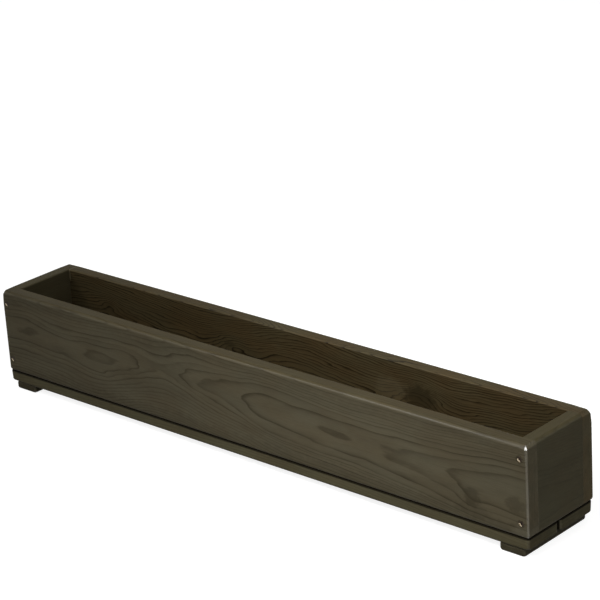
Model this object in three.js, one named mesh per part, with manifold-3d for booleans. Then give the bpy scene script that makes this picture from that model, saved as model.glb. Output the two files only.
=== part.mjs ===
// A wooden window box for plants: four stained softwood walls round an open
// trough, two base boards with a drainage slot between them, two battens
// across the bottom as feet, and the countersunk screws that hold it together.
//
// Millimetres, +Z up. The origin is on the ground under the middle of the box,
// X runs along the box, and the front faces -Y.

import * as THREE from 'three';
import { mergeVertices } from 'three/addons/utils/BufferGeometryUtils.js';
import Module from 'manifold-3d';

const wasm = await Module();
wasm.setup();

// ---- Driving dimensions ----------------------------------------------------

const BOX_LENGTH = 900;
const BOX_WIDTH = 130;

// The four walls are of one board, stood on edge.
const WALL_THICKNESS = 20.5;
const WALL_HEIGHT = 119;
const OUTER_CORNER_RADIUS = 6;
const RIM_RADIUS = 5.5;
const LOWER_WALL_RADIUS = 5;
const INNER_EDGE_EASING = 2;

// Two base boards lie lengthwise under the walls.
const BASE_THICKNESS = 15;
const BASE_SETBACK = 1;
const BASE_CORNER_RADIUS = 5;
const BASE_LOWER_RADIUS = 2;
const BASE_UPPER_RADIUS = 1.3;
const DRAIN_SLOT_WIDTH = 4.5;
const DRAIN_SLOT_CENTRE = -3;

// Two battens lie across the underside near its ends.
const FOOT_HEIGHT = 12;
const FOOT_WIDTH = 38;
const FOOT_END_SETBACK = 8.5;
const FOOT_SIDE_SETBACK = 3;
const FOOT_CORNER_RADIUS = 5;
const FOOT_EDGE_RADIUS = 4;

// Countersunk wood screws.
const HEAD_DIAMETER = 7;
const HEAD_LAND = 0.4;
const SHANK_DIAMETER = 3.6;
const SCREW_TIP_LENGTH = 5;
const HOLE_CLEARANCE = 0.3;
const RECESS_LENGTH = 4.2;
const RECESS_WIDTH = 0.9;
const RECESS_DEPTH = 1.5;

// How deep the heads sit, where the screws stand, and how far each one
// reaches into the last board that it holds.
const WALL_HEAD_SINK = 0.5;
const UNDERSIDE_HEAD_SINK = 1;
const WALL_SCREW_EDGE_MARGIN = 18.5;
const WALL_SCREW_BITE = 25;
const BASE_SCREW_END_MARGIN = 120;
const BASE_SCREWS_PER_BOARD = 4;
const BASE_SCREW_BITE = 22;
const FOOT_SCREW_BITE = 15;
const FOOT_SCREW_SLOT_MARGIN = 14;
const SHORT_SCREW_COVER = 5;

// How finely the round edges, holes and screws are faceted. A corner's quarter
// circle gets two facets for each one counted here.
const EDGE_FACETS = 4;
const CORNER_FACETS = 2;
const SCREW_SIDES = 14;

// Blanks are cut oversize by this much where another cut sets their face.
const SAW_ALLOWANCE = 20;

// ---- Levels and lines that follow from them ---------------------------------

const BASE_BOTTOM = FOOT_HEIGHT;
const WALL_BOTTOM = BASE_BOTTOM + BASE_THICKNESS;
const INNER_LENGTH = BOX_LENGTH - 2 * WALL_THICKNESS;
const INNER_WIDTH = BOX_WIDTH - 2 * WALL_THICKNESS;
const WALL_LINE = (BOX_WIDTH - WALL_THICKNESS) / 2;
const END_LINE = (BOX_LENGTH - WALL_THICKNESS) / 2;
const FOOT_LINE = BOX_LENGTH / 2 - FOOT_END_SETBACK - FOOT_WIDTH / 2;

const BASE_LENGTH = BOX_LENGTH - 2 * BASE_SETBACK;
const BASE_OUTER_EDGE = BOX_WIDTH / 2 - BASE_SETBACK;
const SLOT_FRONT_EDGE = DRAIN_SLOT_CENTRE - DRAIN_SLOT_WIDTH / 2;
const SLOT_REAR_EDGE = DRAIN_SLOT_CENTRE + DRAIN_SLOT_WIDTH / 2;

const WALL_SCREW_LENGTH = WALL_THICKNESS + WALL_SCREW_BITE - WALL_HEAD_SINK;
const BASE_SCREW_LENGTH = BASE_THICKNESS + BASE_SCREW_BITE - UNDERSIDE_HEAD_SINK;
const FOOT_SCREW_LENGTH = FOOT_HEIGHT + BASE_THICKNESS + FOOT_SCREW_BITE - UNDERSIDE_HEAD_SINK;
const SHORT_SCREW_LENGTH = FOOT_HEIGHT + BASE_THICKNESS - SHORT_SCREW_COVER - UNDERSIDE_HEAD_SINK;

// ---- Joining and cutting ----------------------------------------------------

function solid(geometry) {
  const bare = geometry.clone();
  bare.deleteAttribute('normal');
  bare.deleteAttribute('uv');
  const merged = mergeVertices(bare);
  return new wasm.Manifold(new wasm.Mesh({
    numProp: 3,
    vertProperties: merged.attributes.position.array,
    triVerts: Uint32Array.from(merged.index.array),
  }));
}

function geometryOf(body) {
  const mesh = body.getMesh();
  const geometry = new THREE.BufferGeometry();
  geometry.setAttribute('position', new THREE.BufferAttribute(mesh.vertProperties, 3));
  geometry.setIndex(new THREE.BufferAttribute(mesh.triVerts, 1));
  geometry.computeVertexNormals();
  return geometry;
}

// ---- Boards -----------------------------------------------------------------

// A rectangle with round corners, centred on the origin.
function roundedRectangle(length, width, radius) {
  const right = length / 2;
  const top = width / 2;
  const shape = new THREE.Shape();
  shape.moveTo(right, radius - top);
  shape.absarc(right - radius, top - radius, radius, 0, Math.PI / 2);
  shape.absarc(radius - right, top - radius, radius, Math.PI / 2, Math.PI);
  shape.absarc(radius - right, radius - top, radius, Math.PI, 1.5 * Math.PI);
  shape.absarc(right - radius, radius - top, radius, 1.5 * Math.PI, 2 * Math.PI);
  return shape;
}

// A block that stands on z = 0, with round corners in plan and its upper and
// lower edges rounded alike.
function evenBlock(length, width, height, cornerRadius, edgeRadius) {
  const geometry = new THREE.ExtrudeGeometry(roundedRectangle(length, width, cornerRadius), {
    depth: height - 2 * edgeRadius,
    bevelThickness: edgeRadius,
    bevelSize: edgeRadius,
    bevelOffset: -edgeRadius,
    bevelSegments: EDGE_FACETS,
    curveSegments: CORNER_FACETS,
  });
  return geometry.translate(0, 0, edgeRadius);
}

// The same block with upper and lower edges of their own radius: what two
// taller blocks share, one with each radius.
function board(length, width, height, cornerRadius, upperRadius, lowerRadius) {
  const upper = evenBlock(length, width, height + SAW_ALLOWANCE, cornerRadius, upperRadius);
  const lower = evenBlock(length, width, height + SAW_ALLOWANCE, cornerRadius, lowerRadius);
  upper.translate(0, 0, -SAW_ALLOWANCE);
  return solid(upper).intersect(solid(lower));
}

// A wall's section, with u from its inner face outwards and v up. All but the
// inner face runs past the finished size.
function wallSection() {
  const section = new THREE.Shape();
  const outside = WALL_THICKNESS + SAW_ALLOWANCE;
  const over = WALL_HEIGHT + SAW_ALLOWANCE;
  section.moveTo(0, -SAW_ALLOWANCE);
  section.lineTo(outside, -SAW_ALLOWANCE);
  section.lineTo(outside, over);
  section.lineTo(0, over);
  return section;
}

// What is taken off the inner upper edge to round it over.
function easingSection() {
  const section = new THREE.Shape();
  const radius = INNER_EDGE_EASING;
  section.moveTo(-radius, WALL_HEIGHT - radius);
  section.lineTo(0, WALL_HEIGHT - radius);
  section.absarc(radius, WALL_HEIGHT - radius, radius, Math.PI, Math.PI / 2, true);
  section.lineTo(radius, WALL_HEIGHT + radius);
  section.lineTo(-radius, WALL_HEIGHT + radius);
  return section;
}

// A section drawn out along X, with u = 0 on y = 0 and u towards -Y.
function drawnOut(section, length) {
  const geometry = new THREE.ExtrudeGeometry(section, {
    depth: length,
    bevelEnabled: false,
    curveSegments: EDGE_FACETS,
  });
  geometry.translate(0, 0, -length / 2);
  const outwards = new THREE.Vector3(0, -1, 0);
  const up = new THREE.Vector3(0, 0, 1);
  const basis = new THREE.Matrix4().makeBasis(outwards, up, outwards.clone().cross(up));
  return solid(geometry.applyMatrix4(basis));
}

// A wall before the frame's outline is cut from it: its inner face on y = 0,
// and its edge rounded only along the trough, so that the joints stay flush.
function wallBlank(length, troughLength) {
  return drawnOut(wallSection(), length).subtract(drawnOut(easingSection(), troughLength));
}

// ---- Screws -----------------------------------------------------------------

// A countersunk screw's outline, from the head's top at y = 0 down to the tip,
// grown all round for the hole that takes it.
function screwOutline(length, grow) {
  const headRadius = HEAD_DIAMETER / 2 + grow;
  const shankRadius = SHANK_DIAMETER / 2 + grow;
  const coneFoot = HEAD_LAND + headRadius - shankRadius;
  return [
    new THREE.Vector2(0, -length - grow),
    new THREE.Vector2(shankRadius / 3, -length - grow),
    new THREE.Vector2(shankRadius, SCREW_TIP_LENGTH - length),
    new THREE.Vector2(shankRadius, -coneFoot),
    new THREE.Vector2(headRadius, -HEAD_LAND),
    new THREE.Vector2(headRadius, 0),
  ];
}

// The screw stands with its tip down: a lathe's axis is Y, turned here to Z.
function screwSolid(length) {
  const outline = [...screwOutline(length, 0), new THREE.Vector2(0, 0)];
  const turned = new THREE.LatheGeometry(outline, SCREW_SIDES).rotateX(Math.PI / 2);
  const slot = new THREE.BoxGeometry(RECESS_LENGTH, RECESS_WIDTH, 2 * RECESS_DEPTH);
  const crossSlot = slot.clone().rotateZ(Math.PI / 2);
  const recess = solid(slot).add(solid(crossSlot));
  return solid(turned).subtract(recess);
}

// The countersunk hole for a screw whose head lies below the board's face.
function screwHole(length, sink) {
  const outline = screwOutline(length, HOLE_CLEARANCE);
  const mouthRadius = HEAD_DIAMETER / 2 + HOLE_CLEARANCE;
  const mouth = sink + SAW_ALLOWANCE;
  outline.push(new THREE.Vector2(mouthRadius, mouth));
  outline.push(new THREE.Vector2(0, mouth));
  return new THREE.LatheGeometry(outline, SCREW_SIDES).rotateX(Math.PI / 2);
}

// Every screw of one kind: its length, the sink of its head, and the places
// of its head's top with the way that its tip points.
const TIP_REARWARD = Math.PI / 2;
const TIP_FORWARD = -Math.PI / 2;
const TIP_UP = Math.PI;

const SIDES = [['left', -1], ['right', 1]];
const FACES = [['front', -1, TIP_REARWARD], ['back', 1, TIP_FORWARD]];
const HEIGHTS = [
  ['lower', WALL_BOTTOM + WALL_SCREW_EDGE_MARGIN],
  ['upper', WALL_BOTTOM + WALL_HEIGHT - WALL_SCREW_EDGE_MARGIN],
];

function wallScrews() {
  const headFace = BOX_WIDTH / 2 - WALL_HEAD_SINK;
  const list = [];
  for (const [face, ySign, turn] of FACES) {
    for (const [side, xSign] of SIDES) {
      for (const [level, z] of HEIGHTS) {
        list.push({
          name: `wall_screw_${face}_${side}_${level}`,
          length: WALL_SCREW_LENGTH,
          sink: WALL_HEAD_SINK,
          position: [xSign * END_LINE, ySign * headFace, z],
          turn,
        });
      }
    }
  }
  return list;
}

// A row of screws along each base board, up into the long wall over it.
function baseScrews() {
  const first = BASE_SCREW_END_MARGIN - BOX_LENGTH / 2;
  const spacing = -2 * first / (BASE_SCREWS_PER_BOARD - 1);
  const headLevel = BASE_BOTTOM + UNDERSIDE_HEAD_SINK;
  const list = [];
  for (const [face, ySign] of FACES) {
    for (let index = 0; index < BASE_SCREWS_PER_BOARD; index += 1) {
      list.push({
        name: `base_screw_${face}_${index + 1}`,
        length: BASE_SCREW_LENGTH,
        sink: UNDERSIDE_HEAD_SINK,
        position: [first + index * spacing, ySign * WALL_LINE, headLevel],
        turn: TIP_UP,
      });
    }
  }
  return list;
}

// Each foot has a long screw up into each long wall, and a short one into the
// inner half of each base board.
function footScrews() {
  const rows = [
    ['front_long', -WALL_LINE, FOOT_SCREW_LENGTH],
    ['front_short', SLOT_FRONT_EDGE - FOOT_SCREW_SLOT_MARGIN, SHORT_SCREW_LENGTH],
    ['back_short', SLOT_REAR_EDGE + FOOT_SCREW_SLOT_MARGIN, SHORT_SCREW_LENGTH],
    ['back_long', WALL_LINE, FOOT_SCREW_LENGTH],
  ];
  const list = [];
  for (const [side, xSign] of SIDES) {
    for (const [row, y, length] of rows) {
      list.push({
        name: `foot_screw_${side}_${row}`,
        length,
        sink: UNDERSIDE_HEAD_SINK,
        position: [xSign * FOOT_LINE, y, UNDERSIDE_HEAD_SINK],
        turn: TIP_UP,
      });
    }
  }
  return list;
}

const screws = [...wallScrews(), ...baseScrews(), ...footScrews()];

// All the holes as solids in the box's own frame, each with the room that it
// takes up, so that a board is cut only by the holes that reach it.
const holes = screws.map((screw) => {
  const hole = screwHole(screw.length, screw.sink);
  hole.rotateX(screw.turn);
  hole.translate(...screw.position);
  hole.computeBoundingBox();
  return { room: hole.boundingBox, body: solid(hole) };
});

// ---- Materials --------------------------------------------------------------

function stainedWood(colour) {
  return new THREE.MeshStandardMaterial({ color: colour, roughness: 0.55, metalness: 0 });
}

const WALL_COLOUR = 0x423e2f;
const END_COLOUR = 0x3c382b;
const BASE_COLOUR = 0x3e3b2c;
const FOOT_COLOUR = 0x383427;
const SCREW_COLOUR = 0x8a6a45;

const part = new THREE.Group();
part.name = 'window_box_planter';

// ---- Placing the boards -----------------------------------------------------

// A board is worked in the box's frame, drilled there, and then handed over as
// a mesh whose own origin is at the given place.
function addBoard(name, body, place, colour) {
  const blank = geometryOf(body);
  blank.computeBoundingBox();
  let drilled = body;
  for (const hole of holes) {
    if (hole.room.intersectsBox(blank.boundingBox)) {
      drilled = drilled.subtract(hole.body);
    }
  }
  const geometry = geometryOf(drilled);
  geometry.translate(-place.x, -place.y, -place.z);
  const mesh = new THREE.Mesh(geometry, stainedWood(colour));
  mesh.name = name;
  mesh.position.copy(place);
  part.add(mesh);
}

// The four walls are cut from one block with the round-over already run right
// round it, so that the rim and corners flow across the butt joints.
const frameBlock = board(
  BOX_LENGTH, BOX_WIDTH, WALL_HEIGHT, OUTER_CORNER_RADIUS, RIM_RADIUS, LOWER_WALL_RADIUS,
).translate([0, 0, WALL_BOTTOM]);

function addLongWall(name, ySign, quarterTurns) {
  const place = new THREE.Vector3(0, ySign * INNER_WIDTH / 2, WALL_BOTTOM);
  const blank = wallBlank(BOX_LENGTH + 2 * SAW_ALLOWANCE, INNER_LENGTH);
  const placed = blank.rotate([0, 0, quarterTurns * 90]).translate(place.toArray());
  addBoard(name, frameBlock.intersect(placed), place, WALL_COLOUR);
}

function addEndBoard(name, xSign, quarterTurns) {
  const place = new THREE.Vector3(xSign * INNER_LENGTH / 2, 0, WALL_BOTTOM);
  const blank = wallBlank(INNER_WIDTH, INNER_WIDTH);
  const placed = blank.rotate([0, 0, quarterTurns * 90]).translate(place.toArray());
  addBoard(name, frameBlock.intersect(placed), place, END_COLOUR);
}

addLongWall('front_wall', -1, 0);
addLongWall('back_wall', 1, 2);
addEndBoard('left_end', -1, 3);
addEndBoard('right_end', 1, 1);

function addBaseBoard(name, nearEdge, farEdge) {
  const width = farEdge - nearEdge;
  const place = new THREE.Vector3(0, nearEdge + width / 2, BASE_BOTTOM);
  const body = board(
    BASE_LENGTH, width, BASE_THICKNESS, BASE_CORNER_RADIUS, BASE_UPPER_RADIUS, BASE_LOWER_RADIUS,
  );
  addBoard(name, body.translate(place.toArray()), place, BASE_COLOUR);
}

addBaseBoard('base_board_front', -BASE_OUTER_EDGE, SLOT_FRONT_EDGE);
addBaseBoard('base_board_rear', SLOT_REAR_EDGE, BASE_OUTER_EDGE);

function addFoot(name, xSign) {
  const place = new THREE.Vector3(xSign * FOOT_LINE, 0, 0);
  const footLength = BOX_WIDTH - 2 * FOOT_SIDE_SETBACK;
  const batten = solid(
    evenBlock(FOOT_WIDTH, footLength, FOOT_HEIGHT, FOOT_CORNER_RADIUS, FOOT_EDGE_RADIUS),
  );
  addBoard(name, batten.translate(place.toArray()), place, FOOT_COLOUR);
}

addFoot('foot_left', -1);
addFoot('foot_right', 1);

// ---- Placing the screws -----------------------------------------------------

const screwMetal = { color: SCREW_COLOUR, roughness: 0.4, metalness: 0.9 };

for (const screw of screws) {
  const mesh = new THREE.Mesh(
    geometryOf(screwSolid(screw.length)), new THREE.MeshStandardMaterial(screwMetal),
  );
  mesh.name = screw.name;
  mesh.rotation.x = screw.turn;
  mesh.position.set(...screw.position);
  part.add(mesh);
}

export default part;
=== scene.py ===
# %% [markdown]
# # A stained window box, dressed in Blender
#
# The CAD frame already holds every board and screw at its right size and
# place. This lesson gives each the finer shape and finish of the real box:
# smooth round-overs, countersunk screws, and softwood whose growth rings run
# through each plank from face to edge to end grain. The frame could be traced
# by eye, but loading it keeps all sizes exact.

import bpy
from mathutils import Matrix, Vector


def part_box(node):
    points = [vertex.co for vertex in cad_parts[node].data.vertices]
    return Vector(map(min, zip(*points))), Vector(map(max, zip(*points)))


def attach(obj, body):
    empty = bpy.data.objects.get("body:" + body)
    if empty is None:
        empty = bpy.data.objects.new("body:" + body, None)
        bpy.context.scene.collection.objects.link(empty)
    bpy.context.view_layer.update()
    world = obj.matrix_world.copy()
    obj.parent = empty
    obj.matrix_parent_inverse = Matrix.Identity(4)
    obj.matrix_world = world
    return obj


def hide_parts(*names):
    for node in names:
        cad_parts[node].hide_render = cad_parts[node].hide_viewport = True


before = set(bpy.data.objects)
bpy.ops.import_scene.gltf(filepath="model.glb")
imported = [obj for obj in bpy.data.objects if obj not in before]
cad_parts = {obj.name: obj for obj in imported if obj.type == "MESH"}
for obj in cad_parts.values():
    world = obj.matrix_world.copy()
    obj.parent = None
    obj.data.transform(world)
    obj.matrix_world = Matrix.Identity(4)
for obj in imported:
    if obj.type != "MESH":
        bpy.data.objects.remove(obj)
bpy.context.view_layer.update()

import math
import random

import bmesh
import bpy
from mathutils import Matrix, Quaternion, Vector, noise

MM = 0.001

# %% [markdown]
# ## The camera
#
# The box was seen from its front right corner with a long lens, a little over
# twenty degrees up, and the horizon leant slightly. A camera can be aimed at
# a target by a constraint, but a plain direction with a roll about it says
# the same in two lines and stays fixed.

# %% Place the camera
CAMERA_PLACE = Vector((1.911891, -1.985494, 1.276560))
CAMERA_AIM = Vector((-0.636926, 0.680344, -0.362569))
CAMERA_ROLL = math.radians(-3.668)
CAMERA_LENS_MM = 140.02
CAMERA_SENSOR_MM = 36.0


def add_object(name, data):
    """A new object in the scene."""
    added = bpy.data.objects.new(name, data)
    bpy.context.scene.collection.objects.link(added)
    return added


camera_data = bpy.data.cameras.new("camera")
camera_data.sensor_width = CAMERA_SENSOR_MM
camera_data.lens = CAMERA_LENS_MM
camera = add_object("camera", camera_data)
camera.rotation_mode = "QUATERNION"
camera.rotation_quaternion = (
    CAMERA_AIM.to_track_quat("-Z", "Y") @ Quaternion((0, 0, 1), CAMERA_ROLL)
)
camera.location = CAMERA_PLACE
bpy.context.scene.camera = camera
print("camera elevation:", round(math.degrees(math.asin(-CAMERA_AIM.z)), 2), "degrees")

# %% [markdown]
# ## Putting nodes together
#
# Every colour here is made from shader nodes. Written out in full each node
# takes four lines, so small helpers come first. They add a node, do
# arithmetic, stretch a range and mix colours, for numbers and sockets alike.

# %% Helpers for shader nodes
def put(tree, kind, feeds, **settings):
    """Adds one node, sets its properties, and wires its inputs to sockets or
    sets their plain values."""
    node = tree.nodes.new(kind)
    for setting, value in settings.items():
        setattr(node, setting, value)
    for title, value in feeds.items():
        if isinstance(value, bpy.types.NodeSocket):
            tree.links.new(value, node.inputs[title])
        else:
            node.inputs[title].default_value = value
    return node


def maths(tree, operation, *values, clamp=False):
    """Arithmetic on one or two values, or on more of them one by one."""
    while len(values) > 2:
        values = (maths(tree, operation, *values[:2]), *values[2:])
    settings = {"operation": operation, "use_clamp": clamp}
    return put(tree, "ShaderNodeMath", dict(enumerate(values)), **settings).outputs[0]


def plus(tree, *values):
    return maths(tree, "ADD", *values)


def minus(tree, *values):
    return maths(tree, "SUBTRACT", *values)


def times(tree, *values):
    return maths(tree, "MULTIPLY", *values)


def over(tree, *values):
    return maths(tree, "DIVIDE", *values)


def ramp(tree, value, start, end, low=0.0, high=1.0, smooth=True):
    """Runs from low to high while the value passes from start to end."""
    node = put(
        tree, "ShaderNodeMapRange",
        {"Value": value, "From Min": start, "From Max": end, "To Min": low, "To Max": high},
        interpolation_type="SMOOTHSTEP" if smooth else "LINEAR",
    )
    return node.outputs["Result"]


def between(tree, share, low, high):
    """Runs evenly from low to high as the share goes from 0 to 1."""
    return ramp(tree, share, 0.0, 1.0, low, high, smooth=False)


def blend(tree, share, first, second, mode="MIX"):
    """Mixes two colours."""
    node = put(
        tree, "ShaderNodeMix", {0: share, 6: first, 7: second},
        data_type="RGBA", blend_type=mode,
    )
    return node.outputs[2]


def dot(tree, first, second):
    """How far two directions agree, from -1 to 1."""
    feeds = {0: first, 1: second}
    return put(tree, "ShaderNodeVectorMath", feeds, operation="DOT_PRODUCT").outputs["Value"]


def paint(red, green, blue):
    """A colour as a paint chip reads on screen, 0 to 255, for a socket."""
    def linear(part):
        part /= 255
        return part / 12.92 if part <= 0.04045 else ((part + 0.055) / 1.055) ** 2.4
    return (linear(red), linear(green), linear(blue), 1.0)

# %% [markdown]
# ## Floor, backdrop and light
#
# The product stands on seamless white under four soft lamps. A large one at
# the upper left in front draws the bright line along the front rim, a nearer
# one lights the front's right half, one high on the right glints on the near
# corner, and a weak low one keeps the back from going black. A floor that is
# lit until it burns out would burn the box as well. Its own glow, seen only by
# the camera and in reflections, lifts it to white instead.

# %% Make the floor
FLOOR_HALF = 8.0
FLOOR_COLOUR = paint(170, 170, 168)
FLOOR_GLOW = 0.86


def seen_directly(tree):
    """1 for what the camera, a reflection or a clear material sees."""
    path = put(tree, "ShaderNodeLightPath", {}).outputs
    kinds = ("Is Camera Ray", "Is Glossy Ray", "Is Transmission Ray")
    return maths(tree, "MAXIMUM", *(path[kind] for kind in kinds))


def new_material(name):
    """A material, and its empty tree."""
    material = bpy.data.materials.new(name)
    material.use_nodes = True
    material.node_tree.nodes.clear()
    return material, material.node_tree


floor_material, tree = new_material("floor_white")
floor_speckle = put(tree, "ShaderNodeTexNoise", {"Scale": 40.0, "Detail": 3.0})
floor_paint = put(
    tree, "ShaderNodeBsdfPrincipled",
    {"Base Color": FLOOR_COLOUR, "Specular IOR Level": 0.0,
     "Roughness": ramp(tree, floor_speckle.outputs[0], 0.3, 0.7, 0.8, 0.9)},
)
floor_glow = put(
    tree, "ShaderNodeEmission", {"Strength": times(tree, seen_directly(tree), FLOOR_GLOW)})
floor_sum = put(
    tree, "ShaderNodeAddShader", {0: floor_paint.outputs[0], 1: floor_glow.outputs[0]})
put(tree, "ShaderNodeOutputMaterial", {"Surface": floor_sum.outputs[0]})

floor_mesh = bpy.data.meshes.new("floor")
floor_mesh.from_pydata(
    [(FLOOR_HALF * x, FLOOR_HALF * y, 0) for x, y in ((-1, -1), (1, -1), (1, 1), (-1, 1))],
    [], [(0, 1, 2, 3)])
floor_mesh.materials.append(floor_material)
floor = add_object("floor", floor_mesh)

# %% Light the stage
WORLD_LIGHT = 0.32

# Each lamp: place in metres, the point it faces, size in metres, watts, and
# how widely it spreads in degrees.
LAMPS = {
    "key_upper_left": ((-1.75, -1.50, 1.95), (0.0, 0.0, 0.10), 0.60, 15.6, 180),
    "near_front": ((0.30, -0.80, 0.95), (0.20, 0.0, 0.08), 0.40, 1.5, 70),
    "corner_glint": ((1.84, -1.04, 1.84), (0.40, 0.0, 0.12), 0.36, 9.0, 180),
    "low_behind": ((-0.70, 2.20, 0.16), (0.0, 0.0, 0.08), 0.60, 2.4, 90),
}

world = bpy.data.worlds.new("white_studio")
world.use_nodes = True
tree = world.node_tree
tree.nodes.clear()
world_strength = between(tree, seen_directly(tree), WORLD_LIGHT, 1.0)
world_light = put(
    tree, "ShaderNodeBackground", {"Color": (1, 1, 1, 1), "Strength": world_strength})
put(tree, "ShaderNodeOutputWorld", {"Surface": world_light.outputs[0]})
bpy.context.scene.world = world
bpy.context.scene.view_settings.view_transform = "Standard"

for lamp_name, (place, target, size, watts, spread) in LAMPS.items():
    lamp_data = bpy.data.lights.new(lamp_name, "AREA")
    lamp_data.shape = "DISK"
    lamp_data.size = size
    lamp_data.energy = watts
    lamp_data.spread = math.radians(spread)
    lamp = add_object(lamp_name, lamp_data)
    lamp.location = place
    lamp.rotation_euler = (Vector(target) - Vector(place)).to_track_quat("-Z", "Y").to_euler()
print("lamps:", ", ".join(LAMPS))

# %% [markdown]
# ## How the boards are shaped
#
# Every board is a plank with round-overs that differ from edge to edge: the
# walls are rounded only on the outside, since the frame was rounded after it
# had been put together. Bevelled cubes make odd corners where two radii meet.
# A loft is surer: the plank is cut in thought into level slices with their own
# insets and corner radii, and these are joined from the bottom up.

# %% Slice a plank into outlines
ARC_STEPS = 8
QUARTER_TURN = [step / ARC_STEPS * math.pi / 2 for step in range(ARC_STEPS + 1)]
SLICE_SPACING = 12 * MM
SIDE_SPACING = 20 * MM
SHARPEST = 0.05 * MM
LEAST_CORNER = 1.5 * MM
LEVEL_DIGITS = 7


def inset_at(level, low, high, lower, upper):
    """How far a side stands back at this level because of its round edges."""
    rise = max(level - (high - upper), (low + lower) - level, 0.0)
    radius = upper if level > (low + high) / 2 else lower
    return radius - math.sqrt(max(radius * radius - rise * rise, 0.0))


def slice_levels(low, high, edges):
    """The heights at which the plank is sliced: close together through its
    round-overs, and evenly between them."""
    levels = set()
    for lower, upper in edges:
        for angle in QUARTER_TURN:
            levels.add(low + lower - lower * math.sin(angle))
            levels.add(high - upper + upper * math.sin(angle))
    first = low + max(lower for lower, upper in edges)
    last = high - max(upper for lower, upper in edges)
    flat_slices = max(1, round((last - first) / SLICE_SPACING))
    levels.update(first + (last - first) * count / flat_slices for count in range(flat_slices))
    return sorted({round(level, LEVEL_DIGITS) for level in levels})


def outline(low, high, insets, corners):
    """One slice, anticlockwise from the front left corner. Insets go left,
    right, front, back, and corners front left, front right, back right,
    back left."""
    left, right, front, back = insets
    x0, x1 = low.x + left, high.x - right
    y0, y1 = low.y + front, high.y - back
    shrink = [(left + front) / 2, (right + front) / 2, (right + back) / 2, (left + back) / 2]
    radii = [
        max(radius - less, min(radius, LEAST_CORNER), SHARPEST)
        for radius, less in zip(corners, shrink)
    ]
    centres = [
        (x0 + radii[0], y0 + radii[0]), (x1 - radii[1], y0 + radii[1]),
        (x1 - radii[2], y1 - radii[2]), (x0 + radii[3], y1 - radii[3]),
    ]
    arcs = []
    for quarter, ((cx, cy), radius) in enumerate(zip(centres, radii)):
        angles = [math.pi + quarter * math.pi / 2 + angle for angle in QUARTER_TURN]
        arcs.append([
            Vector((cx + radius * math.cos(angle), cy + radius * math.sin(angle)))
            for angle in angles
        ])
    points = []
    for quarter, arc in enumerate(arcs):
        following = arcs[(quarter + 1) % 4][0]
        cuts = max(1, round((high - low)[quarter % 2] / SIDE_SPACING))
        points += arc + [arc[-1].lerp(following, cut / cuts) for cut in range(1, cuts)]
    return points


def skin(shape, layers, floor=True):
    """Joins layers of points, anticlockwise and from the bottom up, puts on a
    lid and a floor, and hands back the lowest ring."""
    rings = [[shape.verts.new(point) for point in layer] for layer in layers]
    for below, above in zip(rings, rings[1:]):
        for side in range(len(below)):
            following = (side + 1) % len(below)
            shape.faces.new((below[side], below[following], above[following], above[side]))
    if floor:
        shape.faces.new(rings[0][::-1])
    shape.faces.new(rings[-1])
    return rings[0]


def as_mesh(shape, name):
    """The finished shape as a mesh."""
    mesh = bpy.data.meshes.new(name)
    shape.to_mesh(mesh)
    shape.free()
    return mesh

# %% [markdown]
# Hand-finished softwood is never dead flat. Each loft is pressed in by a slow
# swell of less than a tenth of a millimetre, so the light along a round-over
# wavers a little and the board keeps inside its size. The tops and the faces
# towards the trough stay flat, because the trough's mouth is cut from them
# later and a waver there would turn into notches.
#
# The outer corners were taken off by hand. A sanding block goes over them in
# a few passes and leaves a crown, where a single cut would leave a facet.

# %% Loft the slices into a plank
SWELL_DEPTH = 0.09 * MM
SWELL_LENGTH = 90 * MM
LOOKS_INWARD = 0.5
LOOKS_UP = 0.95

# How deep each pass of the sanding block goes, as a share of the whole depth,
# and how much of the rise it leaves.
KNOCK_PASSES = ((1.28, 0.74), (1.18, 0.74), (1.08, 0.74), (1.02, 0.15))


def press_in(shape, towards_middle):
    """The slow swell, on all but the tops and the faces towards the trough."""
    shape.normal_update()
    for vert in shape.verts:
        if vert.normal.dot(towards_middle) < LOOKS_INWARD and vert.normal.z < LOOKS_UP:
            swell = 0.5 + 0.5 * noise.noise(vert.co / SWELL_LENGTH)
            vert.co -= vert.normal * SWELL_DEPTH * swell


def knock_off(shape, corner, inwards, depth):
    """Presses what stands above a plane down to a lower crown, pass by pass."""
    for deepening, left in KNOCK_PASSES:
        for vert in shape.verts:
            rise = depth * deepening - (vert.co - corner).dot(inwards)
            if rise > 0:
                vert.co += inwards * rise * (1 - left)


def plank(name, low, high, edges, corners, knocked=None):
    """A plank between two corners. Edges give the lower and upper radius of
    the left, right, front and back side, and knocked says which corners are
    sanded off at both ends: front or back, bottom or top, and how deep."""
    low, high = Vector(low), Vector(high)
    layers = []
    for level in slice_levels(low.z, high.z, edges):
        insets = [inset_at(level, low.z, high.z, *radii) for radii in edges]
        layers.append([(*point, level) for point in outline(low, high, insets, corners)])
    shape = bmesh.new()
    skin(shape, layers)
    middle = (low + high) / 2
    press_in(shape, -Vector((middle.x, middle.y, 0.0)).normalized())
    if knocked:
        face, end, depth = knocked
        for side in (-1, 1):
            ways = Vector((side, face, end))
            corner = Vector(
                [high[axis] if ways[axis] > 0 else low[axis] for axis in range(3)])
            knock_off(shape, corner, -ways.normalized(), depth)
    return add_object(name, as_mesh(shape, name))

# %% [markdown]
# ## The eight boards
#
# The long walls run the full length, with the end boards between them. Two
# planks make the bottom with a slot between them, and two battens lie across
# it as feet. Only the frame's outside has the round-over of rim and corners,
# more at the left than at the right. Where two boards meet, a hair's breadth
# of easing draws the fine joint line.

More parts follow.
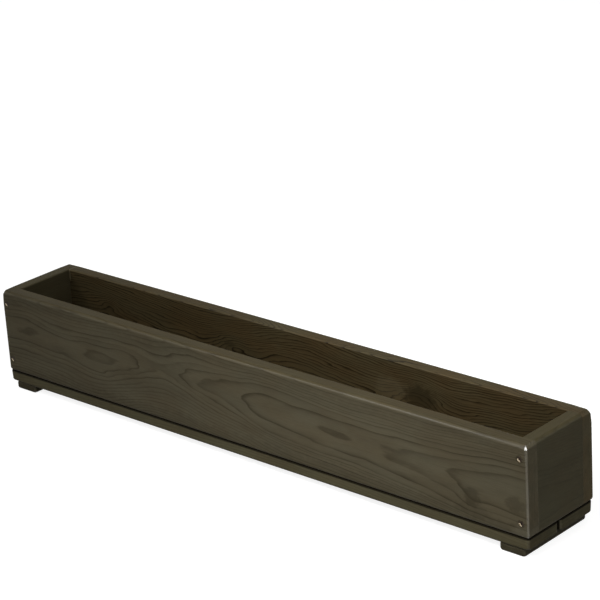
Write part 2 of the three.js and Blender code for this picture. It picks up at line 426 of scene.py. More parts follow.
# %% Make the boards
RIM = 5.5 * MM
WALL_LOWER = 5.0 * MM
LEFT_CORNER = 5.5 * MM
RIGHT_CORNER = 3.2 * MM
JOINT_EASING = 0.15 * MM
BASE_UPPER = 1.3 * MM
BASE_LOWER = 2.0 * MM
BASE_CORNER = 5.0 * MM
FOOT_EDGE = 4.0 * MM
FOOT_CORNER = 5.0 * MM
FRAME_KNOCK = 5.5 * MM
BASE_KNOCK = 3.6 * MM

OUTSIDE = (WALL_LOWER, RIM)
JOINT = (JOINT_EASING, JOINT_EASING)

# Sides in the order left, right, front, back; corners from the front left.
END_CORNERS = (JOINT_EASING,) * 4
BASE_SHAPE = (((BASE_LOWER, BASE_UPPER),) * 4, (BASE_CORNER,) * 4, "base_boards")
FOOT_SHAPE = (((FOOT_EDGE, FOOT_EDGE),) * 4, (FOOT_CORNER,) * 4, "foot_battens")
BOARDS = {
    "front_wall": (
        (OUTSIDE, OUTSIDE, OUTSIDE, JOINT),
        (LEFT_CORNER, RIGHT_CORNER, JOINT_EASING, JOINT_EASING), "wall_boards"),
    "back_wall": (
        (OUTSIDE, OUTSIDE, JOINT, OUTSIDE),
        (JOINT_EASING, JOINT_EASING, RIGHT_CORNER, LEFT_CORNER), "wall_boards"),
    "left_end": ((OUTSIDE, JOINT, JOINT, JOINT), END_CORNERS, "end_boards"),
    "right_end": ((JOINT, OUTSIDE, JOINT, JOINT), END_CORNERS, "end_boards"),
    "base_board_front": BASE_SHAPE,
    "base_board_rear": BASE_SHAPE,
    "foot_left": FOOT_SHAPE,
    "foot_right": FOOT_SHAPE,
}
KNOCKED = {
    "front_wall": (-1, 1, FRAME_KNOCK), "back_wall": (1, 1, FRAME_KNOCK),
    "base_board_front": (-1, -1, BASE_KNOCK), "base_board_rear": (1, -1, BASE_KNOCK),
}

boards = {}
for node, (edges, corners, _) in BOARDS.items():
    low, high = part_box(node)
    boards[node] = plank(node + "_wood", low, high, edges, corners, KNOCKED.get(node))
    size = [round((b - a) / MM, 1) for a, b in zip(low, high)]
    print(node, size, "mm,", len(boards[node].data.polygons), "faces")

# %% [markdown]
# ## The screws
#
# Only the heads show, but each screw should be right when it is taken out. The
# body is turned from rings of points, where the thread is a ridge that climbs
# once round for each pitch. A tapered cross cuts the recess.

# %% Turn a screw
SCREW_SIDES = 28
HEAD_RADIUS = 3.5 * MM
HEAD_LAND = 0.4 * MM
HEAD_EASING = 0.12 * MM
NECK_RADIUS = 1.8 * MM
THREAD_ROOT = 1.35 * MM
THREAD_CREST = 2.0 * MM
THREAD_PITCH = 1.8 * MM
THREAD_ROW = 0.3 * MM
THREAD_SHARPNESS = 0.28
NECK_SHARE = 0.3
POINT_LENGTH = 5.0 * MM
RECESS_LENGTH = 4.2 * MM
RECESS_WIDTH = 0.9 * MM
RECESS_DEPTH = 1.5 * MM
RECESS_TAPER = 0.45


def screw_rings(length):
    """Depth and radius of each ring, with the share of thread on it."""
    cone_end = HEAD_LAND + HEAD_RADIUS - NECK_RADIUS
    rings = [
        (0.0, RECESS_LENGTH * 0.3, 0.0), (0.0, RECESS_LENGTH * 0.55, 0.0),
        (0.0, HEAD_RADIUS - HEAD_EASING, 0.0), (HEAD_EASING, HEAD_RADIUS, 0.0),
        (HEAD_LAND, HEAD_RADIUS, 0.0), (cone_end, NECK_RADIUS, 0.0),
    ]
    depth = cone_end + NECK_SHARE * (length - cone_end)
    rings.append((depth, NECK_RADIUS, 0.0))
    while depth < length - THREAD_ROW:
        depth += THREAD_ROW
        taper = min(1.0, (length - depth) / POINT_LENGTH)
        rings.append((depth, THREAD_ROOT * taper, taper))
    return rings


def ridge(depth, turn):
    """Height of the thread, 0 at the root and 1 at the crest."""
    phase = (depth / THREAD_PITCH - turn) % 1.0
    return max(0.0, 1.0 - abs(phase - 0.5) / THREAD_SHARPNESS)


def round_layer(level, radii):
    """Points at one level round the axis, each at its own radius."""
    angles = [side / len(radii) * 2 * math.pi for side in range(len(radii))]
    return [
        (radius * math.cos(angle), radius * math.sin(angle), level)
        for angle, radius in zip(angles, radii)
    ]


def screw_blank(name, length):
    """The screw without its recess, head's top at the origin, tip down."""
    layers = []
    for depth, radius, thread in screw_rings(length):
        growth = thread * (THREAD_CREST - THREAD_ROOT)
        layers.append(round_layer(-depth, [
            radius + growth * ridge(depth, side / SCREW_SIDES) for side in range(SCREW_SIDES)]))
    shape = bmesh.new()
    lowest = skin(shape, layers[::-1], floor=False)
    tip = shape.verts.new((0, 0, -length))
    for side, vert in enumerate(lowest):
        shape.faces.new((vert, tip, lowest[(side + 1) % SCREW_SIDES]))
    return as_mesh(shape, name)


def cross_outline(scale):
    """The twelve points of the recess, seen from above."""
    arm, side = scale * RECESS_LENGTH / 2, scale * RECESS_WIDTH / 2
    quarter = [(arm, -side), (arm, side), (side, side)]
    spins = [Matrix.Rotation(turn * math.pi / 2, 2) for turn in range(4)]
    return [spin @ Vector(point) for spin in spins for point in quarter]


def recess_mesh():
    """A tapered cross that reaches from above the head down to its floor."""
    slope = (1.0 - RECESS_TAPER) / RECESS_DEPTH
    shape = bmesh.new()
    skin(shape, [
        [(*point, level) for point in cross_outline(1.0 + slope * level)]
        for level in (-RECESS_DEPTH, RECESS_DEPTH)
    ])
    return as_mesh(shape, "recess")

# %% Cut one mesh out of another
def carve(piece, cutter_mesh):
    """Cuts the mesh out of the piece for good, and drops the cutter."""
    cutter = add_object("cutter", cutter_mesh)
    cut = piece.modifiers.new("cut", "BOOLEAN")
    cut.operation = "DIFFERENCE"
    cut.solver = "EXACT"
    cut.object = cutter
    bpy.context.view_layer.update()
    graph = bpy.context.evaluated_depsgraph_get()
    carved = bpy.data.meshes.new_from_object(piece.evaluated_get(graph))
    piece.modifiers.clear()
    old = piece.data
    carved.name = old.name + "_carved"
    piece.data = carved
    bpy.data.meshes.remove(old)
    bpy.data.objects.remove(cutter)
    bpy.data.meshes.remove(cutter_mesh)

# %% [markdown]
# The rim's inner edge was rounded over in one go round the trough, so the
# joints stay flush. Rounding the edge of each wall by itself would leave a
# notch at all four corners. The cutter is instead one stack of slices that
# flares out towards the top, taken out of the four walls as they stand.

# %% Round over the trough's mouth
INNER_EASING = 2.0 * MM
MOUTH_CLEAR = 1.0 * MM
MOUTH_LAP = 0.03 * MM


def mouth_mesh(low, high):
    """What the router takes: the trough's mouth, flared up to the rim. The
    lap starts and ends its round in the open, clear of the faces it meets."""
    reach = INNER_EASING + MOUTH_LAP
    flares = [
        (high.z - INNER_EASING + reach * math.sin(angle), INNER_EASING - reach * math.cos(angle))
        for angle in QUARTER_TURN
    ]
    layers = []
    for level, grow in [*flares, (high.z + MOUTH_CLEAR, INNER_EASING + MOUTH_CLEAR)]:
        x0, y0, x1, y1 = low.x - grow, low.y - grow, high.x + grow, high.y + grow
        layers.append([(x0, y0, level), (x1, y0, level), (x1, y1, level), (x0, y1, level)])
    shape = bmesh.new()
    skin(shape, layers)
    return as_mesh(shape, "mouth")


trough_low = Vector((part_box("left_end")[1][0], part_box("front_wall")[1][1], 0.0))
trough_high = Vector(
    (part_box("right_end")[0][0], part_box("back_wall")[0][1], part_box("front_wall")[1][2]))
for node in ("front_wall", "back_wall", "left_end", "right_end"):
    carve(boards[node], mouth_mesh(trough_low, trough_high))
print("trough mouth", [round((b - a) / MM) for a, b in zip(trough_low, trough_high)][:2], "mm")

# %% [markdown]
# Each screw takes the place of its CAD node, so its length and where its head
# sits are read from the node's box. The heads of real screws stop at any
# angle, and each one here is turned by its own seeded amount.

# %% Set the screws
screw_names = sorted(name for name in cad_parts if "_screw_" in name)
turning = random.Random(7)


def screw_place(node):
    """Where the head's top is, which way the tip points, and the length."""
    low, high = (Vector(corner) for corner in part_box(node))
    head = (low + high) / 2
    if not node.startswith("wall"):
        head.z = low.z
        return head, Vector((0, 0, 1)), high.z - low.z
    front = "_front_" in node
    head.y = low.y if front else high.y
    return head, Vector((0, 1 if front else -1, 0)), high.y - low.y


def upright_to(tip_way):
    """The turn that stands a form with its tip down along the screw's way."""
    return (-tip_way).to_track_quat("Z", "Y").to_matrix()


screws = {}
for node in screw_names:
    head, tip_way, length = screw_place(node)
    piece = add_object(node + "_turned", screw_blank(node + "_turned", length))
    carve(piece, recess_mesh())
    spin = Matrix.Rotation(turning.uniform(0, math.pi / 2), 4, "Z")
    piece.data.transform(Matrix.Translation(head) @ upright_to(tip_way).to_4x4() @ spin)
    screws[node] = piece
print(len(screws), "screws,", len(screws[screw_names[0]].data.polygons), "faces in the first")

# %% [markdown]
# ## The holes for the screws
#
# The heads lie a little below the wood, in countersunk seats. A dark ring
# painted round each head would only work from one side, so seats and pilot
# holes are really cut, from every board that a screw passes.

# %% Drill the boards
HOLE_ROOM = 0.4 * MM
HOLE_SIDES = 32
ABOVE_WOOD = 6 * MM


def drill_mesh(placed):
    """All the holes of one board as a single mesh of closed turned forms."""
    shape = bmesh.new()
    seat = HEAD_RADIUS + HOLE_ROOM
    neck = THREAD_CREST + HOLE_ROOM / 2
    for head, tip_way, length in placed:
        stand = upright_to(tip_way)
        rows = [
            (-length - HOLE_ROOM, neck / 3), (-length + POINT_LENGTH, neck),
            (-HEAD_LAND - seat + neck, neck), (-HEAD_LAND, seat), (ABOVE_WOOD, seat),
        ]
        skin(shape, [
            [head + stand @ Vector(point) for point in round_layer(level, [radius] * HOLE_SIDES)]
            for level, radius in rows
        ])
    return as_mesh(shape, "drill")


def reaches(node, head, tip_way, length):
    """Whether a screw passes through a board's box."""
    ends = (head - tip_way * ABOVE_WOOD, head + tip_way * (length + HOLE_ROOM))
    return all(
        min(start, end) - HEAD_RADIUS <= high and max(start, end) + HEAD_RADIUS >= low
        for start, end, low, high in zip(*ends, *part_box(node)))


for node, piece in boards.items():
    placed = [screw_place(name) for name in screw_names if reaches(node, *screw_place(name))]
    carve(piece, drill_mesh(placed))
    print(node, "drilled for", len(placed), "screws")

# %% [markdown]
# ## Smooth shading that keeps flat faces flat
#
# If every face is shaded smooth, the light bends across the flats as well,
# and splitting by angle would break the round-overs. With normals weighted by
# face area, a long flat face keeps its own normal, and the narrow faces of a
# round-over blend into it.

# %% Shade the pieces
SHARP_ANGLE = math.radians(38)
AREA_WEIGHT = 50


def shade(piece):
    """Smooth shading, sharp only at real edges, with flats kept flat."""
    shape = bmesh.new()
    shape.from_mesh(piece.data)
    bmesh.ops.recalc_face_normals(shape, faces=shape.faces)
    for face in shape.faces:
        face.smooth = True
    for edge in shape.edges:
        edge.smooth = edge.calc_face_angle(math.pi) < SHARP_ANGLE
    shape.to_mesh(piece.data)
    shape.free()
    weighted = piece.modifiers.new("flat_faces", "WEIGHTED_NORMAL")
    weighted.keep_sharp = True
    weighted.weight = AREA_WEIGHT


for piece in [*boards.values(), *screws.values()]:
    shade(piece)

# %% [markdown]
# ## Softwood, seen as a solid
#
# A plank is sawn from a trunk, so the lines on its face, edges and ends are
# all cuts through the same year rings. A flat picture of grain would not turn
# the corner. Here the pattern is solid: for each point of the wood it is
# worked out how far away the pith, the trunk's heart line, lies, and the
# distance is counted in years.
#
# One group measures the distance to the pith, one swells it round a knot, and
# one turns the years into pale early wood and dark late wood. All of them
# measure in millimetres along the grain, across it, and in from one face.

# %% Helpers for node groups
INPUT_KINDS = {float: "NodeSocketFloat", tuple: "NodeSocketColor", Vector: "NodeSocketVector"}
OUTPUT_KINDS = {"VALUE": "NodeSocketFloat", "RGBA": "NodeSocketColor"}
PLACE = {"Along": 0.0, "Across": 0.0, "Depth": 0.0, "Seed": 0.0}
UP = Vector((0, 0, 1))


def start_group(name, inputs):
    """A node group, and what it is given. Inputs have a default value each."""
    tree = bpy.data.node_groups.new(name, "ShaderNodeTree")
    for title, value in inputs.items():
        kind = INPUT_KINDS[type(value)]
        tree.interface.new_socket(title, in_out="INPUT", socket_type=kind).default_value = value
    return tree, put(tree, "NodeGroupInput", {}).outputs


def end_group(tree, results):
    """Hands the results out of the group under their names."""
    for title, value in results.items():
        kind = OUTPUT_KINDS[value.type]
        tree.interface.new_socket(title, in_out="OUTPUT", socket_type=kind)
    put(tree, "NodeGroupOutput", results)
    return tree


def place_group(tree, group, feeds):
    """The outputs of a group that is placed in a tree with its own values."""
    return put(tree, "ShaderNodeGroup", feeds, node_tree=group).outputs


def pick(given, titles):
    """Some of the given values, under their own names."""
    return {title: given[title] for title in titles}


def cloud(tree, given, lengths, shift=None, detail=2.0, third="Depth"):
    """Noise from -1 to 1, drawn out to the given lengths in mm, and shifted
    by the seed or another value."""
    parts = [
        over(tree, given[title], length)
        for title, length in zip(("Along", "Across", third), lengths)
    ]
    parts[0] = plus(tree, parts[0], given["Seed"] if shift is None else shift)
    vector = put(tree, "ShaderNodeCombineXYZ", dict(enumerate(parts))).outputs[0]
    grain = put(
        tree, "ShaderNodeTexNoise",
        {"Vector": vector, "Scale": 1.0, "Detail": detail, "Roughness": 0.5})
    return ramp(tree, grain.outputs[0], 0.25, 0.75, -1.0, 1.0, smooth=False)


def two_squares(tree, first, second):
    """The sum of two squares."""
    return plus(tree, times(tree, first, first), times(tree, second, second))

# %% Distance from the pith
SLOW_WANDER = (110, 26, 26)
QUICK_WANDER = (24, 5, 5)
QUICK_SHARE = 0.12

tree, given = start_group(
    "distance_from_pith",
    {**PLACE, "Pith Across": 0.0, "Pith Depth": 60.0, "Wander": 1.0})
aside = minus(tree, given["Across"], given["Pith Across"])
inwards = minus(tree, given["Depth"], given["Pith Depth"])
quick = times(tree, cloud(tree, given, QUICK_WANDER), QUICK_SHARE)
wander = times(tree, plus(tree, quick, cloud(tree, given, SLOW_WANDER)), given["Wander"])
straight = maths(tree, "SQRT", two_squares(tree, aside, inwards))
pith_group = end_group(tree, {"Radius": plus(tree, straight, wander)})

# %% Knots that push the rings aside
KNOT_SIZES = ("Centre Along", "Centre Across", "Half Length", "Half Width")
KNOT_RAGGEDNESS = (9, 6)
SWELL_FALL = -0.55

tree, given = start_group(
    "knot", {**dict.fromkeys(("Along", "Across", *KNOT_SIZES), 1.0), "Ragged": 0.3})
off_along = minus(tree, given["Along"], given["Centre Along"])
off_across = minus(tree, given["Across"], given["Centre Across"])
away_squared = two_squares(
    tree, over(tree, off_along, given["Half Length"]),
    over(tree, off_across, given["Half Width"]))
ragged = cloud(tree, given, KNOT_RAGGEDNESS, given["Centre Along"])
away = plus(tree, maths(tree, "SQRT", away_squared), times(tree, ragged, given["Ragged"]))
knot_group = end_group(tree, {
    "Swell": maths(tree, "EXPONENT", times(tree, away_squared, SWELL_FALL)),
    "Core": ramp(tree, away, 1.05, 0.55),
    "Halo": ramp(tree, away, 2.2, 1.0),
})

# %% Years turned into early and late wood
RING_FADING = (70, 18, 1.3)
FADING_SHARE = 0.32
WEAKEST_YEAR, STRONGEST_YEAR = 0.40, 0.90

tree, given = start_group(
    "year_rings", {"Years": 0.0, "Along": 0.0, "Across": 0.0, "Seed": 0.0})
year = maths(tree, "FLOOR", given["Years"])
season = minus(tree, given["Years"], year)
# Through the season the wood darkens slowly, then fast, and ends sharply.
darkening = plus(
    tree, ramp(tree, season, 0.30, 0.90, 0.0, 0.32), ramp(tree, season, 0.62, 0.95, 0.0, 0.68))
ending = ramp(tree, season, 0.91, 1.0, 1.0, 0.0)
fading = times(tree, cloud(tree, given, RING_FADING, third="Years"), FADING_SHARE)
yearly = put(
    tree, "ShaderNodeTexWhiteNoise", {"W": plus(tree, year, given["Seed"])},
    noise_dimensions="1D",
).outputs["Value"]
strength = maths(
    tree, "ADD", between(tree, yearly, WEAKEST_YEAR, STRONGEST_YEAR), fading, clamp=True)
ring_group = end_group(tree, {
    "Late Wood": times(tree, darkening, ending, strength),
    "Tone": between(tree, yearly, -1.0, 1.0),
})

# %% [markdown]
# ## Fibre, pores and patchy stain
#
# Close up, planed softwood shows fine fibres, and its open end grain drinks
# more stain. The stain itself dries a little greener here and browner there.
# The round-overs are painted lighter: partly thinner stain where the sanding
# block broke the edges, partly a painted highlight. Each of these is one more
# group, because all the boards share them.

# %% Fibres along the grain
STREAK_LENGTHS = (45, 2.2, 2.2)
HAIR_LENGTHS = (12, 0.9, 0.9)

tree, given = start_group("wood_fibre", PLACE)
fibre_group = end_group(tree, {
    "Streak": cloud(tree, given, STREAK_LENGTHS, detail=3.0),
    "Hair": cloud(tree, given, HAIR_LENGTHS, detail=3.0),
})

# %% Stain that dries in patches
GREENER_LENGTHS = (75, 34, 34)
PALER_LENGTHS = (130, 22, 22)
PALER_SHIFT = 31.7

tree, given = start_group("patchy_stain", PLACE)
greener = cloud(tree, given, GREENER_LENGTHS, detail=3.0)
paler = cloud(tree, given, PALER_LENGTHS, plus(tree, given["Seed"], PALER_SHIFT))
stain_group = end_group(tree, {
    "Greener": ramp(tree, greener, -0.7, 0.7),
    "Paler": ramp(tree, paler, -0.7, 0.7),
})

# %% Round-overs and end grain, read from the surface itself
NEAR_CORNER_WAY = (0.72, -0.69, 0.0)

tree, given = start_group("edges_and_ends", {"Normal": UP, "Grain": Vector((1, 0, 0))})
steepness = put(tree, "ShaderNodeVectorMath", {0: given["Normal"]}, operation="ABSOLUTE")
x, y, z = put(tree, "ShaderNodeSeparateXYZ", {0: steepness.outputs[0]}).outputs
flattest = maths(tree, "MAXIMUM", x, y, z)
least = maths(tree, "MINIMUM", x, y, z)
endwise = maths(tree, "ABSOLUTE", dot(tree, given["Normal"], given["Grain"]))
facing_group = end_group(tree, {
    "Edge": ramp(tree, flattest, 0.995, 0.80),
    "Corner": ramp(tree, least, 0.25, 0.45),
    "Handled": ramp(tree, dot(tree, given["Normal"], NEAR_CORNER_WAY), 0.80, 0.97),
    "Upper": ramp(tree, dot(tree, given["Normal"], UP), 0.45, 0.85),
    "End Grain": ramp(tree, endwise, 0.55, 0.85),
})

# %% [markdown]
# ## One group for the finished wood
#
# What every board has in common goes into one group: from the years, the
# fibres and the stain it works out colour, polish, roughness and the height
# of the surface in millimetres. Each board then only says where its pith
# runs, where its knots are and which tone it has.

# %% The colour of stained wood
BROWN = (0.05, 0.04, 0.02, 1.0)
# Faces that look up are tinted warmer and a little darker: painted warm light from above.
PAINTED_TOP_LIGHT_TINT = (0.95, 0.90, 0.74, 1.0)
WARM_SHARE = 0.55
END_GRAIN_LINES = 0.28
DARKEST_PATCH, PALEST_PATCH = 0.94, 1.07
STREAK_SHADE = 0.06
HAIR_SHADE = 0.09
YEAR_SHADE = 0.035
SAW_SHADE = 0.15
SAW_LENGTHS = (40, 60, 2.4)
# Round-overs are painted lighter, most on the sides and least on top: partly thinner stain,
# partly a painted highlight.
EDGE_WEAR_AND_HIGHLIGHT, RIM_WEAR_AND_HIGHLIGHT = 0.26, 0.07

tree, given = start_group(
    "stained_wood",
    {**PLACE, **dict.fromkeys(("Early Colour", "Late Colour", "Warm Colour"), BROWN),
     "Years": 0.0, "Normal": UP, "Grain": Vector((1, 0, 0)), "Contrast": 1.0,
     "Base Roughness": 0.5, "Polish": 0.1, "End Lift": 0.18})
rings = place_group(tree, ring_group, pick(given, ("Years", "Along", "Across", "Seed")))
fibre = place_group(tree, fibre_group, pick(given, PLACE))
stain = place_group(tree, stain_group, pick(given, PLACE))
facing = place_group(tree, facing_group, pick(given, ("Normal", "Grain")))
contrast = given["Contrast"]

body_colour = blend(
    tree, times(tree, stain["Greener"], WARM_SHARE), given["Early Colour"], given["Warm Colour"])
soaked = between(tree, facing["End Grain"], 1.0, END_GRAIN_LINES)
lined = blend(
    tree, times(tree, soaked, rings["Late Wood"], contrast), body_colour, given["Late Colour"])
# The last term paints the round-overs lighter: thinner stain and a painted highlight.
lightness = plus(
    tree, between(tree, stain["Paler"], DARKEST_PATCH, PALEST_PATCH),
    times(tree, fibre["Streak"], contrast, STREAK_SHADE),
    times(tree, fibre["Hair"], HAIR_SHADE),
    times(tree, rings["Tone"], contrast, YEAR_SHADE),
    times(tree, facing["Edge"], between(tree, facing["Upper"], EDGE_WEAR_AND_HIGHLIGHT, RIM_WEAR_AND_HIGHLIGHT)))
saw_marks = cloud(tree, given, SAW_LENGTHS, detail=3.0)
end_lift = plus(tree, times(tree, saw_marks, SAW_SHADE), given["End Lift"])
lit = times(tree, lightness, plus(tree, times(tree, facing["End Grain"], end_lift), 1.0))
shaded = put(tree, "ShaderNodeVectorMath", {0: lined, 3: lit}, operation="SCALE").outputs[0]
# Upward faces take the painted warm light from above.
colour = blend(tree, facing["Upper"], shaded, blend(tree, 1.0, shaded, PAINTED_TOP_LIGHT_TINT, "MULTIPLY"))

# %% Its polish, roughness and relief
EDGE_POLISH = 0.06
NEAR_END_POLISH = 0.21
NEAR_END_FROM, NEAR_END_FULL = 60.0, 440.0
HANDLED_POLISH = 0.36

near_end = times(
    tree, given["Polish"], minus(tree, 1.0, facing["End Grain"]),
    ramp(tree, given["Along"], NEAR_END_FROM, NEAR_END_FULL, 0.0, NEAR_END_POLISH))
edge_polish = times(tree, facing["Edge"], plus(tree, near_end, EDGE_POLISH))
worn = plus(tree, times(tree, saw_marks, HANDLED_POLISH / 2), HANDLED_POLISH)
handled = maths(tree, "MAXIMUM", facing["Corner"], times(tree, facing["Handled"], worn))
wood_group = end_group(tree, {
    "Colour": colour,
    "Burnish": maths(tree, "MAXIMUM", edge_polish, times(tree, given["Polish"], handled)),
    "Roughness": plus(
        tree, given["Base Roughness"], times(tree, fibre["Streak"], 0.05),
        times(tree, facing["End Grain"], 0.10), times(tree, rings["Late Wood"], -0.08),
        times(tree, facing["Edge"], -0.05)),
    "Height": plus(
        tree, times(tree, rings["Late Wood"], 0.055), times(tree, fibre["Streak"], 0.018),
        times(tree, fibre["Hair"], 0.012)),
})

# %% [markdown]
# ## Board by board
#
# A trunk is crooked, so along one plank the pith comes nearer and goes away
# again. Where it is near, the lines close into pointed arches and long ovals.
# Two curves per board hold how high and how deep it runs. They could be
# random, but then the front would not carry its own figure: an oval left of
# the middle, arches that open to the right, and a wide arch round a knot.

# %% Curves for the pith and the years
BOARD_HALF = 450.0
ACROSS_SPAN = 200.0
DEPTH_SPAN = 120.0
RADIUS_SPAN = 160.0
YEAR_SPAN = 60.0

# Radius in mm against the count of years: wide near the heart, then closer.
WIDE_THEN_CLOSE = [
    (0, 0), (20, 4.0), (44, 8.0), (50.5, 9.0), (57, 10.0), (61.3, 11.0), (65.6, 12.0),
    (69.4, 13.0), (71.4, 14.0), (73.3, 15.0), (80, 17.6), (100, 25.3), (160, 48.5),
]


def curve(tree, value, points, in_low, in_span, out_span):
    """A smooth curve through named points, both ways in real units."""
    share = over(tree, minus(tree, value, in_low), in_span)
    node = put(tree, "ShaderNodeFloatCurve", {"Value": share})
    line = node.mapping.curves[0]
    stops = [((x - in_low) / in_span, y / out_span) for x, y in points]
    line.points[0].location = stops[0]
    line.points[1].location = stops[-1]
    for x, y in stops[1:-1]:
        line.points.new(x, y)
    node.mapping.update()
    return times(tree, node.outputs[0], out_span)

# %% Where a point lies in its board, and in which year
def place_in_board(tree, position, axes, face, seed):
    """Along, across and depth in mm, with the board's seed."""
    parts = put(tree, "ShaderNodeSeparateXYZ", {0: position}).outputs
    along, across, depth = (times(tree, parts["XYZ".index(axis)], 1 / MM) for axis in axes)
    zero, way = face
    depth = times(tree, minus(tree, depth, zero), way)
    return {"Along": along, "Across": across, "Depth": depth, "Seed": seed}


def count_years(tree, place, pith, wander, knots, growth):
    """The years at each point, and the knots that show a colour. Pith says
    how high and how deep it runs, at points along the board."""
    piths = {
        title: curve(tree, place["Along"], points, -BOARD_HALF, 2 * BOARD_HALF, span)
        for title, points, span in zip(
            ("Pith Across", "Pith Depth"), pith, (ACROSS_SPAN, DEPTH_SPAN))
    }
    radius = place_group(tree, pith_group, {**place, **piths, "Wander": wander})["Radius"]
    shown = []
    for *sizes, push, darkness in knots:
        knot = place_group(
            tree, knot_group,
            {**pick(place, ("Along", "Across")), **dict(zip(KNOT_SIZES, sizes))})
        if push:
            radius = plus(tree, radius, times(tree, knot["Swell"], push))
        if darkness:
            shown.append((knot, darkness))
    return curve(tree, radius, growth, 0.0, RADIUS_SPAN, YEAR_SPAN), shown

# %% A material for one board
WOOD_SPECULAR = 0.015
WOOD_ROUGHNESS = 0.46
POLISH_ROUGHNESS = 0.24
POLISH_IOR = 1.9
KNOT_COLOUR = paint(42, 38, 27)
PALE_COLOUR = paint(112, 108, 92)
# The colour of painted shade, laid in grooves, in the slot and along the lowest edges.
PAINTED_SHADE = paint(14, 11, 6)


def cover(tree, bump, feeds):
    """Ends a material with the main shader and a bump for its normal."""
    relief = put(tree, "ShaderNodeBump", bump).outputs[0]
    surface = put(tree, "ShaderNodeBsdfPrincipled", {**feeds, "Normal": relief})
    put(tree, "ShaderNodeOutputMaterial", {"Surface": surface.outputs[0]})


def wood_material(name, axes, face, pith, seed, tones, knots=(), inside=None,
                  inner_contrast=None, contrast=1.0, growth=WIDE_THEN_CLOSE,
                  wander=1.3, polish=0.1, end_lift=0.18, shade_bands=()):
    """Wood for one board. Axes name the way of along, across and depth, and
    face says where depth is zero and which way it counts. Knots give centre
    and half size, how far they push the rings, and how dark they are, or pale
    below zero. Inside is the way into the trough and the tint there, which
    paints the inner faces darker and browner: partly thinner stain, partly
    painted shade. Shade bands say where painted shade darkens a groove, the
    slot or a lowest edge: on which measure, from where, to where and how
    much."""
    material, tree = new_material(name)
    coordinates = put(tree, "ShaderNodeTexCoord", {}).outputs
    place = place_in_board(tree, coordinates["Object"], axes, face, seed)
    years, shown = count_years(tree, place, pith, wander, knots, growth)
    if inside:
        towards, tint = inside
        inner_face = ramp(tree, dot(tree, coordinates["Normal"], towards), 0.6, 0.95)
        if inner_contrast:
            contrast = between(tree, inner_face, contrast, inner_contrast)
    early, late, warm = (paint(*tone) for tone in tones)
    wood = place_group(tree, wood_group, {
        **place, "Years": years, "Early Colour": early, "Late Colour": late,
        "Warm Colour": warm, "Normal": coordinates["Normal"],
        "Grain": Vector([float(axis == axes[0]) for axis in "XYZ"]), "Contrast": contrast,
        "Base Roughness": WOOD_ROUGHNESS, "Polish": polish, "End Lift": end_lift,
    })
    colour, gloss = wood["Colour"], wood["Burnish"]
    for knot, darkness in shown:
        spot, spot_colour = ("Core", KNOT_COLOUR) if darkness > 0 else ("Halo", PALE_COLOUR)
        colour = blend(tree, times(tree, knot[spot], abs(darkness)), colour, spot_colour)
    # Inner faces take the tint: painted shade and bounced light of the trough, and thinner
    # stain.
    if inside:
        colour = blend(tree, inner_face, colour, blend(tree, 1.0, colour, tint, "MULTIPLY"))
    # Painted shade in grooves, the slot and along lowest edges, which also takes the polish away
    # there.
    for measure, unshaded_at, shaded_at, share in shade_bands:
        shade_share = ramp(tree, place[measure], unshaded_at, shaded_at, 0.0, share)
        colour = blend(tree, shade_share, colour, PAINTED_SHADE)
        gloss = times(tree, gloss, minus(tree, 1.0, shade_share))
    cover(tree, {"Height": wood["Height"], "Distance": MM, "Strength": 1.0}, {
        "Base Color": colour, "Roughness": wood["Roughness"],
        "Specular IOR Level": WOOD_SPECULAR, "Coat Weight": gloss,
        "Coat Roughness": POLISH_ROUGHNESS, "Coat IOR": POLISH_IOR,
    })
    return material

# %% [markdown]
# ### The front wall
#
# Its figure was read off the real board, in millimetres from the middle of
# the box: where the arches have their points, and how far apart their arms
# run. The depth of the pith follows, since an arch has its point where the
# pith is as deep as its ring is wide. Two broad bands darken the face towards
# its top and its foot, painted shade darkens the groove below, and a dark
# ring lies round each screw.

# %% Front wall wood
OUTER_TONES = ((81, 76, 61), (49, 44, 32), (77, 69, 53))
# The inner faces are painted darker and browner: partly thinner stain, partly painted shade and
# bounced light of the trough.
INNER_SHADE_TINT = (0.72, 0.685, 0.61, 1.0)

FRONT_PITH_HEIGHT = [
    (-450, 92), (-405, 95), (-350, 91), (-267, 88), (-218, 96), (-168, 104), (-107, 106),
    (-60, 100), (0, 96), (60, 90.5), (106, 87), (227, 83), (338, 79.5), (450, 79),
]
FRONT_PITH_DEPTH = [
    (-450, 69.8), (-405, 69.32), (-340, 70.4), (-267, 68.2), (-232, 69.2), (-195, 71.2),
    (-150, 73.6), (-107, 71.4), (-83, 69.4), (0, 66.0), (28, 63.5), (60, 62.3), (106, 62.0),
    (227, 61.3), (263, 60.3), (300, 59.2), (338, 57.0), (383, 54.0), (400, 52.8), (450, 50.6),
]
FRONT_KNOTS = [
    (368, 60, 15, 15, -2.8, 0.42),
    (370, 43, 30, 13, 0.0, 0.22),
    (432, 68, 15, 13, 0.0, 0.34),
    (-407, 94, 20, 6, 0.0, 0.22),
    (-425, 131, 20, 5, 0.0, 0.22),
    (0, 146, 950, 16, 0.0, 0.15),
    (0, 27, 950, 20, 0.0, 0.18),
    (441, 33, 9, 5, 0.0, -0.22),
]


def box_mm(node):
    """Both corners of a node's box, in mm."""
    return [Vector(corner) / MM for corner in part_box(node)]


for node in screw_names:
    if node.startswith("wall_screw_front"):
        middle = sum(box_mm(node), Vector()) / 2
        FRONT_KNOTS.append((middle.x, middle.z, 6.0, 6.0, 0.0, 0.45))

# The band at the foot of the front wall is painted shade of the groove beneath it.
woods = {"front_wall": wood_material(
    "stained_pine_front", "XZY", (box_mm("front_wall")[0].y, 1.0),
    (FRONT_PITH_HEIGHT, FRONT_PITH_DEPTH), 4.0, OUTER_TONES, FRONT_KNOTS,
    inside=(Vector((0, 1, 0)), INNER_SHADE_TINT), contrast=0.85, polish=1.0,
    shade_bands=[("Across", 30.2, 28.2, 0.92)])}
